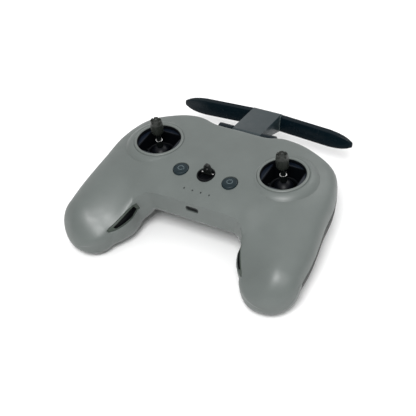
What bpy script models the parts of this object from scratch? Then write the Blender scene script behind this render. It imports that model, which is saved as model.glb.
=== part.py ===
"""Hand-held radio transmitter for a model aircraft: a grey two-shell gamepad body with two sprung
stick gimbals, face and shoulder controls, stick storage slots and a folding T antenna.

Drafting frame, in millimetres: X to the operator's right, Y away from the operator, Z out of the face,
with zero on the face midway between the two gimbals. The model is then lifted so that it stands on its
feet, and moved along Y so that the origin is under the middle of its bounding box."""
import math

import bmesh
import bpy
import numpy as np
from mathutils import Matrix, Vector

MM = 0.001
FACE_HEIGHT = 51.0           # face above the surface that the feet stand on
CENTRE_Y = -4.7              # drafting Y of the middle of the bounding box
GAP = 0.3                    # clearance between neighbouring pieces

WALL = 2.0                   # shell thickness
GIMBAL_X = 50.0              # gimbal centres, either side of the middle
OPENING_R = 16.15            # gimbal opening
RING_R = 18.3                # bezel ring round the opening
BOSS_R = 20.4                # raised boss of the shell round the ring
PIVOT_Z = -13.0              # gimbal axes below the face
WELL_HALF = 12.0             # square well of the gimbal housing
HOUSING_FLOOR_Z = -29.0
STICK_TOP_Z = 18.2

BUTTON_R = 5.6               # round face buttons
BUTTON_AT = (19.5, -20.7)
LOOP_AT = (0.0, -19.4)       # lanyard recess
LOOP_R = 6.4
LOOP_HINGE = (-16.7, -1.8)   # y and z of the lanyard loop's pin
LAMP_Y = -33.6               # row of four status lamps
LAMP_X = (-9.9, -3.3, 3.3, 9.9)
PORT_Z = -14.5               # charging port in the front wall

HINGE_Y = 40.6               # antenna hinge axis
HINGE_Z = -10.8
KNUCKLE_R = 3.5              # the arm's hinge barrel
BASE_KNUCKLE_R = 4.2         # the base's two hinge barrels
BASE_HALF = 22.9
ARM_HALF = 11.6
BLADE_TIP_X = 70.8
ARM_FAR_Y = 75.0
ARM_DROP = 5.5               # fall of the arm's top from hinge to far edge

SHOULDER_Z = -19.5           # row of controls on the far wall
SHOULDER_WALL_Y = 36.2
SIDE_CONTROL = (66.0, 32.7, 19.0)   # x, y and turn of the outermost shoulder control
BOARD_Z = -20.0
# x, y, top of the post under the face, outer surface of the back
SCREWS = ((-24.0, 23.0, -0.6, -30.6), (24.0, 23.0, -0.6, -30.6),
          (-29.0, -24.0, -2.6, -31.2), (29.0, -24.0, -2.6, -31.2))
# x, y, depth of the seat
FEET = (("front", 64.0, -55.0, -48.4), ("rear", 62.0, 2.0, -47.9))
CELL_AT = (71.0, -48.0, -30.0)
CELL_DROOP = 7.5

# Body stations from the middle round to the end of a grip. At each one the section runs from the outer
# parting point, over the face to the crease, down the inner wall and back under the body.
# outer x, y, z | crease x, y, z | inner wall foot x, y, z
RAILS = (
    ((0.0, 35.0, -12.5), (0.0, -42.0, -9.5), (0.0, -43.0, -22.0)),
    ((20.0, 35.0, -12.5), (20.0, -42.0, -9.5), (20.0, -43.0, -22.0)),
    ((35.0, 37.0, -9.5), (33.0, -42.5, -9.8), (32.5, -43.2, -21.5)),
    ((54.0, 36.5, -11.8), (39.0, -45.0, -11.5), (37.5, -45.2, -22.5)),
    ((76.0, 27.5, -15.5), (43.0, -49.0, -14.0), (41.0, -48.0, -24.0)),
    ((86.0, 6.0, -18.0), (45.3, -53.5, -16.5), (41.8, -51.5, -25.5)),
    ((88.7, -18.0, -21.0), (47.8, -60.0, -20.0), (42.3, -57.5, -27.5)),
    ((92.0, -43.0, -25.0), (51.3, -67.0, -24.0), (45.3, -65.0, -30.0)),
    ((92.3, -63.0, -28.0), (56.0, -73.5, -27.0), (50.5, -71.5, -33.0)),
)
# rise of the outer edge | inset, z behind the edge | middle z | inset, z before the crease | crease edge
FACE_SHAPE = (
    (12.0, 5.0, 0.4, 0.0, 15.0, 0.3, 1.0),
    (12.0, 5.0, 0.4, 0.0, 15.0, 0.3, 1.0),
    (10.5, 5.0, 0.8, 0.3, 15.0, 0.2, 1.0),
    (9.0, 5.5, -0.7, 0.5, 15.0, -0.5, 0.8),
    (7.5, 7.0, -3.5, 0.3, 15.0, -3.8, 0.5),
    (8.5, 9.0, -6.0, -1.5, 14.0, -8.5, 0.3),
    (8.5, 10.0, -8.8, -5.0, 12.0, -13.0, 0.15),
    (7.5, 11.0, -12.5, -10.0, 10.0, -17.0, 0.05),
    (7.5, 11.0, -15.5, -14.0, 9.0, -20.0, 0.0),
)
# drop of the inner foot | inset, z after it | middle z | inset, z before the outer edge | its drop
BACK_SHAPE = (
    (5.0, 6.0, -27.0, -34.0, 8.0, -32.0, 9.0),
    (5.0, 6.0, -27.0, -34.0, 8.0, -32.0, 9.0),
    (5.0, 4.0, -29.0, -39.0, 8.0, -36.0, 10.0),
    (7.0, 2.0, -36.0, -49.0, 8.0, -44.0, 10.5),
    (8.0, 0.0, -42.0, -52.0, 8.5, -48.0, 11.0),
    (10.0, 0.0, -46.0, -51.5, 9.5, -48.0, 11.0),
    (10.5, 1.5, -47.5, -50.5, 9.5, -47.0, 11.0),
    (10.0, 4.0, -48.0, -50.0, 9.5, -47.5, 11.0),
    (10.0, 6.0, -48.0, -50.0, 9.5, -48.5, 10.0),
)
GRIP_END = (4.2, -16.8, -6.5)    # reach of the rounded grip end beyond the last station
ROWS_PER_STATION = 2
END_ROWS = 4
FACE_CUTS = 9
WALL_CUTS = 3
BACK_CUTS = 11


# ---------------------------------------------------------------- materials and scene set-up

def material(name, colour, roughness, metallic=0.0):
    made = bpy.data.materials.new(name)
    made.use_nodes = True
    made.diffuse_color = (*colour, 1.0)
    shader = made.node_tree.nodes["Principled BSDF"]
    shader.inputs["Base Color"].default_value = (*colour, 1.0)
    shader.inputs["Roughness"].default_value = roughness
    shader.inputs["Metallic"].default_value = metallic
    return made


for leftover in list(bpy.data.objects):
    bpy.data.objects.remove(leftover, do_unlink=True)

PARTS = bpy.data.collections.new("radio_transmitter_controller")
GUIDES = bpy.data.collections.new("cutters")
bpy.context.scene.collection.children.link(PARTS)
bpy.context.scene.collection.children.link(GUIDES)

GREY = material("body_grey", (0.20, 0.215, 0.21), 0.5)
DARK_GREY = material("antenna_grey", (0.075, 0.09, 0.095), 0.45)
BLACK = material("black_plastic", (0.012, 0.013, 0.015), 0.4)
RUBBER = material("black_rubber", (0.018, 0.018, 0.018), 0.85)
BUTTON = material("button_slate", (0.045, 0.065, 0.08), 0.4)
SILVER = material("bright_steel", (0.75, 0.75, 0.74), 0.25, 1.0)
BOARD = material("board_green", (0.02, 0.11, 0.05), 0.5)
LAMP = material("lamp_white", (0.8, 0.8, 0.78), 0.3)
CELL = material("cell_blue", (0.03, 0.09, 0.3), 0.4)


# ---------------------------------------------------------------- building blocks

def place(x, y, z):
    """World position, in metres, of a drafting point in millimetres."""
    return Vector((x * MM, (y - CENTRE_Y) * MM, (z + FACE_HEIGHT) * MM))


def add_object(name, mesh, paint, at=(0.0, 0.0, 0.0), turn=None, guide=False):
    made = bpy.data.objects.new(name, mesh)
    made.matrix_world = Matrix.Translation(place(*at)) @ (turn or Matrix()).to_4x4()
    if guide:
        GUIDES.objects.link(made)
        made.hide_render = True
        made.display_type = 'WIRE'
    else:
        mesh.materials.append(paint)
        PARTS.objects.link(made)
    return made


def mesh_from(name, bm, smooth=True):
    mesh = bpy.data.meshes.new(name)
    bm.to_mesh(mesh)
    bm.free()
    if smooth:
        mesh.shade_smooth()
        mesh.set_sharp_from_angle(angle=math.radians(35))
    return mesh


def box(name, size, at, paint=None, turn=None, bevel=0.0, guide=False):
    bm = bmesh.new()
    bmesh.ops.create_cube(bm, size=1.0)
    bmesh.ops.scale(bm, vec=Vector(size) * MM, verts=bm.verts)
    made = add_object(name, mesh_from(name, bm, smooth=False), paint, at, turn, guide)
    if bevel:
        rounding = made.modifiers.new("rounding", 'BEVEL')
        rounding.width = bevel * MM
        rounding.segments = 2
    return made


AXIS_TURN = {
    'X': Matrix.Rotation(math.radians(90), 3, 'Y'),
    'Y': Matrix.Rotation(math.radians(-90), 3, 'X'),
    'Z': Matrix.Identity(3),
}


def rod(name, radius, length, at, paint=None, axis='Z', sides=24, top=None, turn=None, guide=False):
    """A cylinder, or a cone to the radius top, centred on at."""
    bm = bmesh.new()
    bmesh.ops.create_cone(bm, cap_ends=True, segments=sides, radius1=radius * MM,
                          radius2=(radius if top is None else top) * MM, depth=length * MM)
    turned_by = (turn or Matrix.Identity(3)) @ AXIS_TURN[axis]
    return add_object(name, mesh_from(name, bm), paint, at, turned_by, guide)


def turned(name, profile, at, paint=None, sides=32, turn=None, guide=False):
    """A profile of (radius, height) points, outer side from the top down, turned about its Z axis."""
    bm = bmesh.new()
    points = [bm.verts.new((r * MM, 0.0, z * MM)) for r, z in profile]
    closed = profile[0][0] > 0 or profile[-1][0] > 0
    for first, second in zip(points, points[1:] + points[:1] if closed else points[1:]):
        bm.edges.new((first, second))
    made = add_object(name, mesh_from(name, bm, smooth=False), paint, at, turn, guide)
    spin = made.modifiers.new("turn", 'SCREW')
    spin.steps = sides
    spin.render_steps = sides
    spin.use_merge_vertices = True
    spin.merge_threshold = 0.00001
    return made


def combine(target, tool, operation='DIFFERENCE', own_crossings=False):
    """Cut or join with a tool, which then counts as a guide."""
    step = target.modifiers.new(operation.lower(), 'BOOLEAN')
    step.operation = operation
    step.object = tool
    step.solver = 'EXACT'
    step.use_self = own_crossings
    if tool.name not in GUIDES.objects:
        for owner in list(tool.users_collection):
            owner.objects.unlink(tool)
        GUIDES.objects.link(tool)
        tool.hide_render = True
        tool.display_type = 'WIRE'
    return target


def join(target, tool):
    return combine(target, tool, 'UNION')


# ---------------------------------------------------------------- the body's loft

def spline_weights(count, at):
    """Weights of a clamped cubic B-spline's control points at one place from 0 to 1."""
    spans = count - 3
    knots = [0.0] * 3 + [i / spans for i in range(spans + 1)] + [1.0] * 3
    at = min(at, 1.0 - 1e-9)
    weights = [1.0 if knots[i] <= at < knots[i + 1] else 0.0 for i in range(len(knots) - 1)]
    for degree in (1, 2, 3):
        for i in range(len(weights) - 1):
            left = knots[i + degree] - knots[i]
            right = knots[i + degree + 1] - knots[i + 1]
            rising = (at - knots[i]) / left * weights[i] if left else 0.0
            falling = (knots[i + degree + 1] - at) / right * weights[i + 1] if right else 0.0
            weights[i] = rising + falling
        weights.pop()
    return np.array(weights)


def spline_points(controls, cuts, start=0.0, end=1.0):
    places = [start + (end - start) * k / cuts for k in range(cuts + 1)]
    return np.array([spline_weights(len(controls), at) @ controls for at in places])


def lifted(point, rise):
    return point + np.array((0.0, 0.0, rise))


def towards(point, direction, distance, height):
    """The point moved along a level direction and set at a height."""
    moved = point + direction * distance
    return np.array((moved[0], moved[1], height))


def level_direction(start, end):
    step = np.array((end[0] - start[0], end[1] - start[1], 0.0))
    return step / np.linalg.norm(step)


def station_controls(rails, face, back):
    outer, crease, foot = (np.array(point) for point in rails)
    rise, inset, edge_z, middle_z, run, slope_z, sharp = face
    across = level_direction(outer, crease)
    middle = towards((outer + crease) / 2, across, 0.0, middle_z)
    before = towards(crease, across, -run, slope_z)
    over = [outer, lifted(outer, rise), towards(outer, across, inset, edge_z), middle, before, crease]
    fall = 0.35 * (crease[2] - foot[2])
    rounded = crease + 0.35 * (1.0 - sharp) * (crease - before) - np.array((0.0, 0.0, fall * sharp))
    wall = [crease, rounded, lifted(foot, fall), foot]
    drop, foot_inset, foot_z, under_z, edge_inset, under_edge_z, edge_drop = back
    across = level_direction(outer, foot)
    under = [foot, lifted(foot, -drop), towards(foot, across, -foot_inset, foot_z),
             towards((outer + foot) / 2, across, 0.0, under_z),
             towards(outer, across, edge_inset, under_edge_z), lifted(outer, -edge_drop), outer]
    return np.array(over), np.array(wall), np.array(under)


STATIONS = [station_controls(*station) for station in zip(RAILS, FACE_SHAPE, BACK_SHAPE)]


def blend_stations(rows, place_along):
    """Catmull-Rom blend of one row per station, mirrored at the middle; place_along runs 0 to 8."""
    last = len(rows) - 1
    i = min(int(place_along), last - 1)
    t = place_along - i
    before = rows[1] * (-1.0, 1.0, 1.0) if i == 0 else rows[i - 1]
    after = 2 * rows[last] - rows[last - 1] if i + 2 > last else rows[i + 2]
    here, there = rows[i], rows[i + 1]
    return 0.5 * (2 * here + (there - before) * t + (2 * before - 5 * here + 4 * there - after) * t ** 2
                  + (3 * here - before - 3 * there + after) * t ** 3)


def body_grid():
    """Rows of points round the right half's closed section, from the middle to the grip's end."""
    sections = []
    for over, wall, under in STATIONS:
        sections.append(np.concatenate([spline_points(over, FACE_CUTS), spline_points(wall, WALL_CUTS)[1:],
                                        spline_points(under, BACK_CUTS)[1:-1]]))
    steps = (len(STATIONS) - 1) * ROWS_PER_STATION
    rows = [blend_stations(sections, k / ROWS_PER_STATION) for k in range(steps + 1)]
    centre = (rows[-1].min(axis=0) + rows[-1].max(axis=0)) / 2
    for k in range(1, END_ROWS):
        angle = math.radians(90 * k / END_ROWS)
        rows.append(centre + (rows[steps] - centre) * math.cos(angle) + np.array(GRIP_END) * math.sin(angle))
    return rows, centre + np.array(GRIP_END)


def mirror(made):
    twin = made.modifiers.new("other half", 'MIRROR')
    twin.merge_threshold = 0.00001
    twin.use_clip = True
    return made


def thicken(made, thickness, offset=-1.0):
    wall = made.modifiers.new("wall", 'SOLIDIFY')
    wall.thickness = thickness * MM
    wall.offset = offset
    wall.use_even_offset = True
    wall.use_quality_normals = True
    return made


def merge_close(made):
    """Merge the pairs of points that a cut leaves almost on top of each other."""
    weld = made.modifiers.new("merge", 'WELD')
    weld.merge_threshold = 0.00002
    return made


def body_skin(name, paint):
    """The whole outer surface as a closed skin, given its wall thickness."""
    rows, tip = body_grid()
    bm = bmesh.new()
    grid = [[bm.verts.new(Vector(point) * MM) for point in row] for row in rows]
    pole = bm.verts.new(Vector(tip) * MM)
    around = len(grid[0])
    for row, following in zip(grid, grid[1:]):
        for k in range(around):
            after = (k + 1) % around
            bm.faces.new((row[k], row[after], following[after], following[k]))
    for k in range(around):
        bm.faces.new((grid[-1][k], grid[-1][(k + 1) % around], pole))
    made = add_object(name, mesh_from(name, bm), paint)
    return thicken(mirror(made), WALL)


def parting_guide(name, drop):
    """Everything above the joint between the two shells, lowered by drop."""
    steps = (len(STATIONS) - 1) * ROWS_PER_STATION
    outer_rail = [over[0] for over, wall, under in STATIONS]
    inner_rail = [spline_points(under, 20)[5] for over, wall, under in STATIONS]
    edges = []
    for k in range(steps + 1):
        outer = blend_stations(outer_rail, k / ROWS_PER_STATION)
        inner = blend_stations(inner_rail, k / ROWS_PER_STATION)
        out = (outer - inner) / np.linalg.norm((outer - inner)[:2])
        edges.append((outer + out * 15.0, inner - out * 15.0))
    edges.append((np.array((105.0, -80.0, -43.0)), np.array((52.0, -86.0, -45.5))))
    edges.append((np.array((104.0, -104.0, -48.0)), np.array((66.0, -110.0, -48.0))))
    bm = bmesh.new()
    columns = []
    for outer, inner in edges:
        low = [lifted(outer, -drop), lifted(inner, -drop)]
        high = [towards(point, np.zeros(3), 0.0, 30.0) for point in (inner, outer)]
        columns.append([bm.verts.new(Vector(point) * MM) for point in low + high])
    for row, following in zip(columns, columns[1:]):
        for k in range(4):
            after = (k + 1) % 4
            bm.faces.new((row[k], following[k], following[after], row[after]))
    bm.faces.new(columns[-1][::-1])
    bmesh.ops.triangulate(bm, faces=bm.faces, quad_method='FIXED')
    return mirror(add_object(name, mesh_from(name, bm, smooth=False), None, guide=True))


def surface_point(section, along, across):
    """A point on the face, wall or back (section 0, 1 or 2) of the right half's outer surface."""
    rows = [spline_weights(len(station[section]), across) @ station[section] for station in STATIONS]
    return blend_stations(rows, along)


def patch(name, section, along, edges, depth, paint, side, rows=12, columns=4, offset=-1.0, guide=False):
    """A piece of the outer surface between two edge lines, thickened by depth, for either side."""
    bm = bmesh.new()
    grid = []
    for k in range(rows + 1):
        u = along[0] + (along[1] - along[0]) * k / rows
        low, high = edges(u)
        places = [low + (high - low) * j / columns for j in range(columns + 1)]
        points = [surface_point(section, u, v) * (side, 1.0, 1.0) for v in places]
        grid.append([bm.verts.new(Vector(point) * MM) for point in points])
    for row, following in zip(grid, grid[1:]):
        for j in range(columns):
            corners = (row[j], row[j + 1], following[j + 1], following[j])
            bm.faces.new(corners if side > 0 else corners[::-1])
    return thicken(add_object(name, mesh_from(name, bm), paint, guide=guide), depth, offset)


def slot_edges(spare):
    """Upper and lower edge of the stick slot on the inner wall, widened by spare."""
    def edges(along):
        upper = np.interp(along, (3.9, 4.55, 5.7, 6.7, 7.5, 8.0), (0.38, 0.27, 0.14, 0.1, 0.13, 0.25))
        lower = np.interp(along, (3.9, 5.6, 6.7, 7.5, 8.0), (0.97, 0.97, 0.78, 0.62, 0.4))
        return upper - spare, lower + spare
    return edges


def pad_edges(spare):
    """Inner and outer edge of the rubber pad under a grip, widened by spare."""
    def edges(along):
        inner = np.interp(along, (4.7, 5.8), (0.8, 0.62))
        return inner - spare, 0.98 + spare
    return edges


# ---------------------------------------------------------------- shells

def cut_shoulders(bottom):
    """Openings for the controls on the far wall, which the operator's fingers reach."""
    y = SHOULDER_WALL_Y
    side_x, side_y, turn = SIDE_CONTROL
    for sign in (-1, 1):
        combine(bottom, rod("cut_shoulder_round_%d" % sign, 3.5, 10.0, (sign * 38.0, y, SHOULDER_Z), axis='Y',
                            guide=True))
    combine(bottom, box("cut_dial", (15.2, 10.0, 5.4), (-51.0, y, SHOULDER_Z), guide=True))
    combine(bottom, box("cut_mode", (15.2, 10.0, 4.2), (51.0, y, SHOULDER_Z), guide=True))
    combine(bottom, box("cut_toggle", (7.4, 10.0, 5.8), (-side_x, side_y, SHOULDER_Z),
                        turn=Matrix.Rotation(math.radians(turn), 3, 'Z'), guide=True))
    combine(bottom, rod("cut_return", 3.9, 10.0, (side_x, side_y, SHOULDER_Z), axis='Y',
                        turn=Matrix.Rotation(math.radians(-turn), 3, 'Z'), guide=True))


def build_shells():
    above = parting_guide("cut_above_joint", 0.13)
    above_gap = parting_guide("cut_above_joint_gap", 0.13 + GAP)
    top = combine(body_skin("top_shell", GREY), above, 'INTERSECT', own_crossings=True)
    bottom = combine(body_skin("bottom_shell", GREY), above_gap, own_crossings=True)
    for made in (top, bottom):
        merge_close(made)
    for sign in (-1, 1):
        combine(top, rod("cut_gimbal_%d" % sign, BOSS_R - 1.1, 30.0, (sign * GIMBAL_X, 0.0, 0.0),
                         sides=28, guide=True))
        boss = [(19.7, 0.4), (BOSS_R, 0.1), (22.4, -1.0), (24.5, -3.2), (26.0, -6.0), (26.5, -9.0),
                (RING_R + GAP, -9.0), (RING_R + GAP, 0.4)]
        join(top, turned("boss_%d" % sign, boss, (sign * GIMBAL_X, 0.0, 0.0), guide=True))
        combine(top, rod("cut_button_%d" % sign, BUTTON_R + GAP, 10.0,
                         (sign * BUTTON_AT[0], BUTTON_AT[1], -1.0), guide=True))
        combine(top, patch("cut_slot_%d" % sign, 1, (3.88, 7.94), slot_edges(0.03), 5.0, None, sign,
                           rows=10, offset=-0.4, guide=True))
        combine(bottom, patch("cut_pad_%d" % sign, 2, (4.71, 7.97), pad_edges(0.01), 2.3, None, sign,
                              rows=10, columns=6, offset=-0.13, guide=True))
    combine(top, rod("cut_lanyard", LOOP_R + GAP, 10.0, (*LOOP_AT, -1.0), sides=32, guide=True))
    combine(top, box("cut_port", (10.1, 9.0, 4.1), (0.0, -42.0, PORT_Z), bevel=1.2, guide=True))
    for k, x in enumerate(LAMP_X):
        combine(top, rod("cut_lamp_%d" % k, 1.1, 8.0, (x, LAMP_Y, -6.0), sides=12, guide=True))
    for k, (x, y, post_top, floor) in enumerate(SCREWS):
        post_foot = floor + 5.7
        join(top, rod("post_%d" % k, 3.2, post_top - post_foot, (x, y, (post_top + post_foot) / 2),
                      sides=16, guide=True))
        combine(top, rod("cut_post_%d" % k, 1.45, 24.0, (x, y, post_foot), sides=12, guide=True))
        join(bottom, rod("seat_%d" % k, 4.2, 4.9, (x, y, floor + 2.95), sides=16, guide=True))
        combine(bottom, rod("cut_shank_%d" % k, 1.6, 14.0, (x, y, floor + 2.0), sides=12, guide=True))
        combine(bottom, rod("cut_head_%d" % k, 2.9, 6.0, (x, y, floor - 0.4), sides=16, guide=True))
    for sign in (-1, 1):
        for end, x, y, depth in FEET:
            combine(bottom, rod("cut_foot_%s_%d" % (end, sign), 5.3, 6.0, (sign * x, y, depth - 3.0),
                                sides=20, guide=True))
    combine(bottom, box("cut_hinge_tenon", (20.6, 14.0, 3.6), (0.0, 32.0, -18.0), guide=True))
    cut_shoulders(bottom)


def build_skin_pieces():
    """Rubber pads, stick storage trays and feet."""
    for side, sign in (("left", -1), ("right", 1)):
        patch(side + "_grip_pad", 2, (4.74, 7.95), pad_edges(0.0), 1.0, RUBBER, sign, rows=10, columns=6)
        tray = patch(side + "_stick_tray", 1, (3.92, 7.9), slot_edges(-0.035), 3.6, BLACK, sign, rows=9)
        combine(tray, patch("cut_stored_stick_%d" % sign, 1, (4.25, 7.6), slot_edges(-0.1), 3.5, None, sign,
                            rows=8, columns=3, offset=-0.43, guide=True))
        for end, x, y, depth in FEET:
            height = FACE_HEIGHT + depth - GAP
            rod("%s_%s_foot" % (side, end), 5.0, height, (sign * x, y, height / 2 - FACE_HEIGHT), RUBBER,
                sides=20)


def build_gimbal(side, sign):
    at = (sign * GIMBAL_X, 0.0, 0.0)
    pivot = (sign * GIMBAL_X, 0.0, PIVOT_Z)
    ring = [(17.6, 1.0), (RING_R, 0.3), (RING_R, -2.2), (OPENING_R, -2.2), (OPENING_R, 0.4), (16.6, 1.0)]
    turned(side + "_gimbal_ring", ring, at, GREY)

    cup = [(0.0, -2.5), (RING_R, -2.5), (RING_R, HOUSING_FLOOR_Z + 2.0), (RING_R - 2.0, HOUSING_FLOOR_Z),
           (0.0, HOUSING_FLOOR_Z)]
    housing = turned(side + "_gimbal_housing", cup, at, BLACK)
    depth = -HOUSING_FLOOR_Z - 3.0
    combine(housing, box("cut_well_" + side, (2 * WELL_HALF, 2 * WELL_HALF, depth + 4.0),
                         (at[0], 0.0, 4.0 - (depth + 4.0) / 2), guide=True))
    bearing = rod("cut_bearing_" + side, 1.6, 2 * WELL_HALF + 5.0, pivot, axis='X', sides=12, guide=True)
    combine(housing, bearing)

    yoke_profile = [(10.9, 2.3), (10.9, -2.3), (8.9, -2.3), (8.9, 2.3)]
    yoke = turned(side + "_outer_yoke", yoke_profile, pivot, BLACK, sides=24)
    trunnions = rod("trunnion_x_" + side, 1.25, 2 * WELL_HALF + 4.0, pivot, axis='X', sides=12, guide=True)
    combine(trunnions, rod("cut_trunnion_" + side, 9.8, 6.0, pivot, guide=True))
    join(yoke, trunnions)
    combine(yoke, rod("cut_yoke_bore_" + side, 1.6, 24.0, pivot, axis='Y', sides=12, guide=True))

    ball_profile = [(0.0, 7.4)]
    for k in range(1, 8):
        angle = math.radians(22.5 * k)
        ball_profile.append((7.4 * math.sin(angle), 7.4 * math.cos(angle)))
    ball_profile.append((0.0, -7.4))
    ball = turned(side + "_inner_yoke", ball_profile, pivot, BLACK, sides=24)
    join(ball, rod("trunnion_y_" + side, 1.25, 21.4, pivot, axis='Y', sides=12, guide=True))
    combine(ball, rod("cut_stick_seat_" + side, 2.2, 8.0, (at[0], 0.0, PIVOT_Z + 7.0), sides=16, guide=True))

    post_low = PIVOT_Z + 3.4
    post_high = 11.3
    post_at = (at[0], 0.0, (post_low + post_high) / 2)
    rod(side + "_stick_post", 1.8, post_high - post_low, post_at, BLACK, sides=16)
    collar = [(2.35, 0.2), (2.5, -0.1), (2.5, -5.2), (2.15, -5.2), (2.15, 0.2)]
    turned(side + "_stick_collar", collar, at, SILVER, sides=24)

    grip_low = 6.4
    grip = [(0.0, STICK_TOP_Z - 1.6), (2.2, STICK_TOP_Z - 1.4), (3.0, STICK_TOP_Z), (3.9, STICK_TOP_Z),
            (4.5, STICK_TOP_Z - 3.2), (4.5, grip_low + 1.8), (3.4, grip_low), (2.15, grip_low),
            (2.15, post_high + GAP), (0.0, post_high + GAP)]
    cap = turned(side + "_stick_grip", grip, at, BLACK, sides=24)
    for k in range(3):
        notch = box("cut_crown_%s_%d" % (side, k), (12.0, 1.2, 3.0), (at[0], 0.0, STICK_TOP_Z),
                    turn=Matrix.Rotation(math.radians(60 * k + 30), 3, 'Z'), guide=True)
        combine(cap, notch)


def build_face_controls():
    cap = [(0.0, 0.5), (4.0, 0.4), (BUTTON_R - 0.5, 0.0), (BUTTON_R, -0.6), (BUTTON_R, -4.6),
           (BUTTON_R + 1.0, -4.6), (BUTTON_R + 1.0, -5.6), (0.0, -5.6)]
    for name, sign in (("c1_button", -1), ("power_button", 1)):
        turned(name, cap, (sign * BUTTON_AT[0], BUTTON_AT[1], -0.4), BUTTON, sides=28)

    well_r = LOOP_R - 0.8
    cup = [(0.0, -4.4), (well_r, -4.4), (well_r, -0.9), (LOOP_R, -0.9), (LOOP_R, -5.4), (0.0, -5.4)]
    lanyard_cup = turned("lanyard_cup", cup, (*LOOP_AT, 0.0), BLACK, sides=28)
    hinge_y, hinge_z = LOOP_HINGE
    hinge = Vector((0.0, hinge_y, hinge_z))
    combine(lanyard_cup, rod("cut_lanyard_pin", 0.95, 9.7, hinge, axis='X', sides=12, guide=True))
    rod("lanyard_pin", 0.65, 9.4, hinge, SILVER, axis='X', sides=12)

    loop = rod("lanyard_loop", 1.3, 6.6, hinge, BLACK, axis='X', sides=16)
    blade = Vector((0.0, 0.0, 5.7))
    join(loop, tapered_box("loop_blade", (6.6, 2.2), (4.6, 2.2), blade.z, hinge + blade / 2))
    join(loop, rod("loop_end", 2.3, 2.2, hinge + blade, axis='Y', sides=20, guide=True))
    combine(loop, rod("cut_loop_eye", 1.3, 4.0, hinge + blade * 0.75, axis='Y', sides=12, guide=True))
    combine(loop, rod("cut_loop_bore", 0.95, 8.0, hinge, axis='X', sides=12, guide=True))

    rail = box("lamp_guide", (24.0, 3.0, 1.6), (0.0, LAMP_Y, -10.4), LAMP)
    for k, x in enumerate(LAMP_X):
        join(rail, rod("lamp_%d" % k, 0.75, 5.0, (x, LAMP_Y, -7.6), sides=12, guide=True))

    port = box("charging_port", (9.4, 7.4, 3.4), (0.0, -38.6, PORT_Z), SILVER, bevel=1.0)
    mouth = box("cut_port_mouth", (8.2, 8.0, 2.4), (0.0, -40.0, PORT_Z), bevel=0.8, guide=True)
    combine(mouth, box("port_tongue", (6.4, 5.4, 0.7), (0.0, -38.4, PORT_Z), guide=True))
    combine(port, mouth)


def tapered_box(name, low, high, length, at):
    """A guide box along Z whose ends have different (x, y) sizes."""
    bm = bmesh.new()
    bmesh.ops.create_cube(bm, size=1.0)
    for corner in bm.verts:
        size = high if corner.co.z > 0 else low
        corner.co = Vector((corner.co.x * size[0], corner.co.y * size[1], corner.co.z * length)) * MM
    return add_object(name, mesh_from(name, bm, smooth=False), None, at, guide=True)


# ---------------------------------------------------------------- controls on the far wall

def build_shoulder_controls():
    y = SHOULDER_WALL_Y
    z = SHOULDER_Z
    side_x, side_y, turn = SIDE_CONTROL
    for name, sign in (("start_stop_button", -1), ("shutter_button", 1)):
        push_button(name, 3.2, (sign * 38.0, y + 1.2, z), Matrix.Identity(3))
    outward = Matrix.Rotation(math.radians(-turn), 3, 'Z')
    push_button("return_button", 3.6, Vector((side_x, side_y, z)) + outward @ Vector((0.0, 1.6, 0.0)), outward)

    dial_at = (-51.0, y - 5.0, z)
    dial = rod("gimbal_dial", 7.4, 4.6, dial_at, BLACK, sides=28)
    combine(dial, rod("cut_dial_bore", 1.3, 6.0, dial_at, sides=12, guide=True))
    rod("dial_axle", 1.0, 7.0, dial_at, SILVER, sides=12)

    box("mode_switch", (7.0, 7.0, 3.4), (51.0, y - 1.2, z), BUTTON, bevel=0.5)

    inward = Matrix.Rotation(math.radians(turn), 3, 'Z')
    toggle_at = Vector((-side_x, side_y, z)) + inward @ Vector((0.0, -4.4, 0.0))
    toggle = rod("c2_switch", 2.2, 5.0, toggle_at, BUTTON, sides=16)
    lever = toggle_at + inward @ Vector((0.0, 4.0, 0.0))
    join(toggle, box("toggle_lever", (2.6, 7.0, 4.2), lever, turn=inward, bevel=0.4, guide=True))


def push_button(name, radius, front, turn):
    """A round button whose front face lies at front and whose flange stays behind the wall."""
    shank = 8.2
    inward = turn @ Vector((0.0, -1.0, 0.0))
    made = rod(name, radius, shank, Vector(front) + inward * shank / 2, BUTTON, axis='Y', turn=turn, sides=20)
    return join(made, rod(name + "_flange", radius + 1.0, 1.4, Vector(front) + inward * (shank - 0.2), axis='Y',
                          turn=turn, sides=20, guide=True))


# ---------------------------------------------------------------- antenna

SIDE_VIEW = Matrix(((0.0, 0.0, 1.0), (1.0, 0.0, 0.0), (0.0, 1.0, 0.0)))


def side_plate(name, outline, half_width, paint=None, guide=False):
    """A solid from an outline of (y, z) points, extruded each way along X."""
    curve = bpy.data.curves.new(name, 'CURVE')
    curve.dimensions = '2D'
    curve.fill_mode = 'BOTH'
    curve.extrude = half_width * MM
    line = curve.splines.new('POLY')
    line.points.add(len(outline) - 1)
    for point, (y, z) in zip(line.points, outline):
        point.co = (y * MM, z * MM, 0.0, 1.0)
    line.use_cyclic_u = True
    drawn = bpy.data.objects.new(name + "_outline", curve)
    bpy.context.scene.collection.objects.link(drawn)
    evaluated = drawn.evaluated_get(bpy.context.evaluated_depsgraph_get())
    mesh = bpy.data.meshes.new_from_object(evaluated)
    bpy.data.objects.remove(drawn, do_unlink=True)
    bm = bmesh.new()
    bm.from_mesh(mesh)
    bmesh.ops.remove_doubles(bm, verts=bm.verts, dist=0.00001)
    bmesh.ops.recalc_face_normals(bm, faces=bm.faces)
    return add_object(name, mesh_from(name, bm, smooth=False), paint, turn=SIDE_VIEW, guide=guide)


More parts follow.
